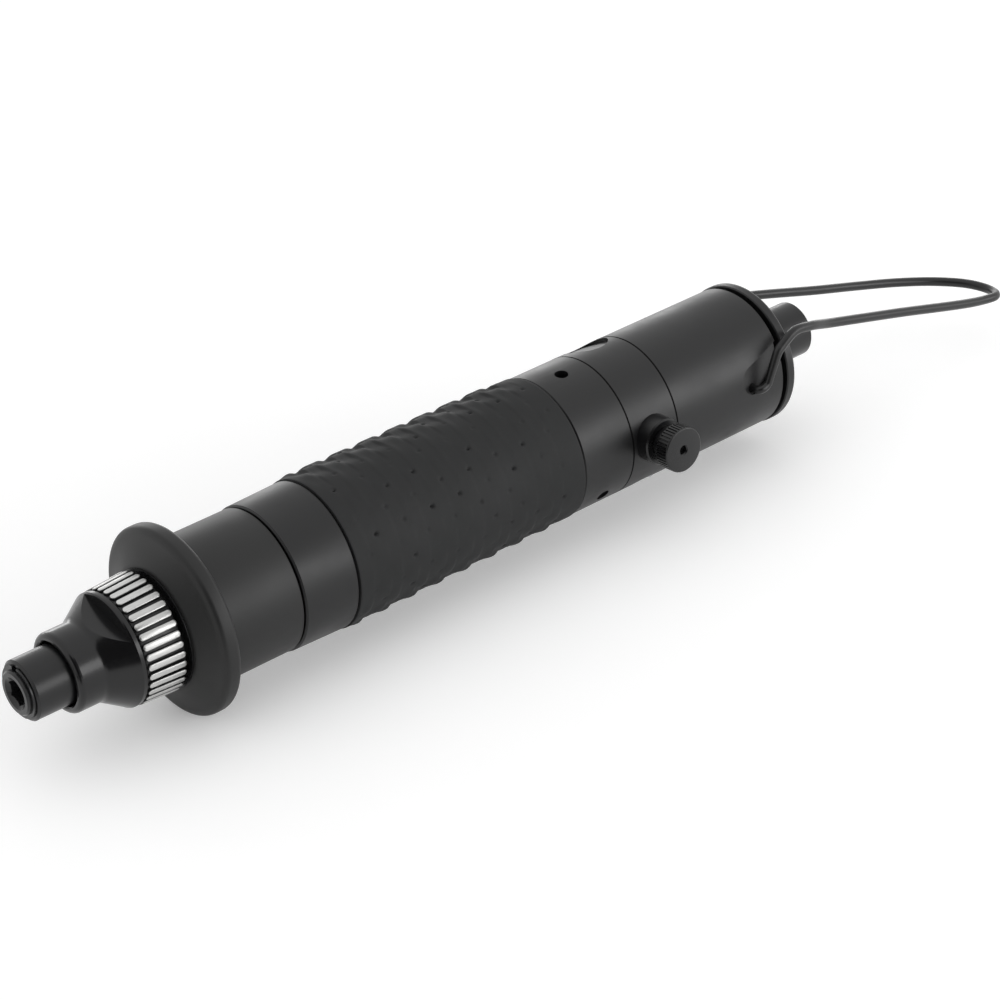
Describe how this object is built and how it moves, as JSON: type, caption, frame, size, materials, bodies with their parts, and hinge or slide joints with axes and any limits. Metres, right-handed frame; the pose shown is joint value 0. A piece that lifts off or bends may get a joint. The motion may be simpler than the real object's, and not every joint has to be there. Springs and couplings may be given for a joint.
{
  "type": "pneumatic screwdriver",
  "caption": "Straight push-to-start air screwdriver with quick-change bit chuck, ribbed torque ring, flared hand guard, scaled rubber grip, reversing knob and wire bail.",
  "frame": {"origin": "centre of the mouth of the bit socket, on the tool axis", "axes": "+X along the tool axis from the bit socket to the air inlet; the reversing knob points along -Y; the bail turns about an axis along Y"},
  "size_m": [0.339, 0.0569, 0.051],
  "materials": {
    "dark_steel": "blackened, turned",
    "blackened_steel": "black oxide, satin",
    "spring_steel": "drawn wire",
    "ball_steel": "ground and polished",
    "gloss_black": "black, glossy",
    "bronze": "machined",
    "ribbed_steel": "blackened, rib tops ground bare",
    "machined_steel": "machined",
    "guard_rubber": "matte",
    "bearing_steel": "ground",
    "gear_steel": "hobbed and hardened",
    "satin_black": "black oxide, satin",
    "rotor_steel": "ground",
    "vane_laminate": "woven laminate",
    "housing_black": "black, satin gloss",
    "grip_rubber": "very matte, moulded scales",
    "seal_rubber": "moulded",
    "felt": "pressed felt",
    "bail_wire": "black, satin"
  },
  "bodies": {
    "tool": {"nose_piece": "gloss_black", "nose_bush": "bronze", "clutch_spring": "spring_steel", "thrust_washer": "machined_steel", "clutch_case": "dark_steel", "hand_guard": "guard_rubber", "output_bearing": "bearing_steel", "ring_gear": "gear_steel", "gear_case": "satin_black", "front_bearing": "bearing_steel", "front_plate": "machined_steel", "motor_cylinder": "machined_steel", "cylinder_pin": "ball_steel", "rear_plate": "machined_steel", "rear_bearing": "bearing_steel", "motor_housing": "housing_black", "rubber_grip": "grip_rubber", "valve_body": "housing_black", "seal_rings": "seal_rubber", "valve_pin": "ball_steel", "knob_gland": "blackened_steel", "throttle_seat": "bronze", "throttle_spring": "spring_steel", "rear_housing": "housing_black", "silencer_felt": "felt", "end_cap": "housing_black", "inlet_bush": "blackened_steel", "inlet_screen": "bronze"},
    "rotor": {"rotor": "rotor_steel", "rotor_vanes": "vane_laminate"},
    "first_stage": {"input_carrier": "machined_steel", "input_pins": "ball_steel"},
    "output": {"output_carrier": "machined_steel", "output_pins": "ball_steel", "drive_cam": "machined_steel", "clutch_balls": "ball_steel", "driven_cam": "machined_steel", "thrust_balls": "ball_steel"},
    "input_planet_1": {"input_planet_1": "gear_steel"},
    "input_planet_2": {"input_planet_2": "gear_steel"},
    "input_planet_3": {"input_planet_3": "gear_steel"},
    "output_planet_1": {"output_planet_1": "gear_steel"},
    "output_planet_2": {"output_planet_2": "gear_steel"},
    "output_planet_3": {"output_planet_3": "gear_steel"},
    "bit_holder": {"bit_holder": "dark_steel", "locking_balls": "ball_steel", "chuck_spring": "spring_steel", "sleeve_snap_ring": "dark_steel", "spindle_snap_ring": "spring_steel"},
    "chuck_sleeve": {"chuck_sleeve": "blackened_steel"},
    "push_rod": {"push_rod": "ball_steel", "throttle_valve": "machined_steel"},
    "torque_ring": {"knurled_ring": "ribbed_steel"},
    "adjuster": {"clutch_adjuster": "machined_steel"},
    "reverse_knob": {"reverse_valve": "machined_steel", "reverse_knob": "blackened_steel", "knob_screw": "dark_steel"},
    "bail": {"bail": "bail_wire"}
  },
  "joints": [
    {"name": "rotor_spin", "type": "hinge", "parent": "tool", "child": "rotor", "pos_m": [0.125, 0, 0], "axis": [1, 0, 0], "continuous": true},
    {"name": "first_stage_spin", "type": "hinge", "parent": "tool", "child": "first_stage", "pos_m": [0.081, 0, 0], "axis": [1, 0, 0], "continuous": true},
    {"name": "spindle_spin", "type": "hinge", "parent": "tool", "child": "output", "pos_m": [0.066, 0, 0], "axis": [1, 0, 0], "continuous": true},
    {"name": "input_planet_1_spin", "type": "hinge", "parent": "first_stage", "child": "input_planet_1", "pos_m": [0.0867, 0, 0.00945], "axis": [1, 0, 0], "continuous": true},
    {"name": "input_planet_2_spin", "type": "hinge", "parent": "first_stage", "child": "input_planet_2", "pos_m": [0.0867, -0.00818, -0.00473], "axis": [1, 0, 0], "continuous": true},
    {"name": "input_planet_3_spin", "type": "hinge", "parent": "first_stage", "child": "input_planet_3", "pos_m": [0.0867, 0.00818, -0.00473], "axis": [1, 0, 0], "continuous": true},
    {"name": "output_planet_1_spin", "type": "hinge", "parent": "output", "child": "output_planet_1", "pos_m": [0.0779, 0, 0.00945], "axis": [1, 0, 0], "continuous": true},
    {"name": "output_planet_2_spin", "type": "hinge", "parent": "output", "child": "output_planet_2", "pos_m": [0.0779, -0.00818, -0.00473], "axis": [1, 0, 0], "continuous": true},
    {"name": "output_planet_3_spin", "type": "hinge", "parent": "output", "child": "output_planet_3", "pos_m": [0.0779, 0.00818, -0.00473], "axis": [1, 0, 0], "continuous": true},
    {"name": "bit_push", "type": "slide", "parent": "output", "child": "bit_holder", "axis": [1, 0, 0], "range_m": [0, 0.003], "stiffness_N_per_m": 800, "springref_m": -0.005},
    {"name": "sleeve_pull", "type": "slide", "parent": "bit_holder", "child": "chuck_sleeve", "axis": [1, 0, 0], "range_m": [0, 0.0027], "stiffness_N_per_m": 1200, "springref_m": -0.002, "deforming": ["chuck_spring"]},
    {"name": "push_rod_slide", "type": "slide", "parent": "tool", "child": "push_rod", "axis": [1, 0, 0], "range_m": [0, 0.003], "deforming": ["throttle_spring"]},
    {"name": "torque_ring_turn", "type": "hinge", "parent": "tool", "child": "torque_ring", "pos_m": [0.0338, 0, 0], "axis": [1, 0, 0], "range_deg": [-150, 150]},
    {"name": "adjuster_slide", "type": "slide", "parent": "tool", "child": "adjuster", "axis": [1, 0, 0], "range_m": [-0.00125, 0.00125], "deforming": ["clutch_spring"]},
    {"name": "reverse_turn", "type": "hinge", "parent": "tool", "child": "reverse_knob", "pos_m": [0.1907, 0, 0], "axis": [0, -1, 0], "range_deg": [0, 90]},
    {"name": "bail_swing", "type": "hinge", "parent": "tool", "child": "bail", "pos_m": [0.2285, 0, 0], "axis": [0, 1, 0], "range_deg": [-95, 95]}
  ],
  "couplings": [
    {"joint": "first_stage_spin", "follows": "rotor_spin", "ratio": 0.22222},
    {"joint": "spindle_spin", "follows": "rotor_spin", "ratio": 0.049383},
    {"joint": "input_planet_1_spin", "follows": "rotor_spin", "ratio": -0.62222},
    {"joint": "input_planet_2_spin", "follows": "rotor_spin", "ratio": -0.62222},
    {"joint": "input_planet_3_spin", "follows": "rotor_spin", "ratio": -0.62222},
    {"joint": "output_planet_1_spin", "follows": "rotor_spin", "ratio": -0.13827},
    {"joint": "output_planet_2_spin", "follows": "rotor_spin", "ratio": -0.13827},
    {"joint": "output_planet_3_spin", "follows": "rotor_spin", "ratio": -0.13827},
    {"joint": "push_rod_slide", "follows": "bit_push", "ratio": 1},
    {"joint": "adjuster_slide", "follows": "torque_ring_turn", "m_per_rad": 0.000477}
  ]
}
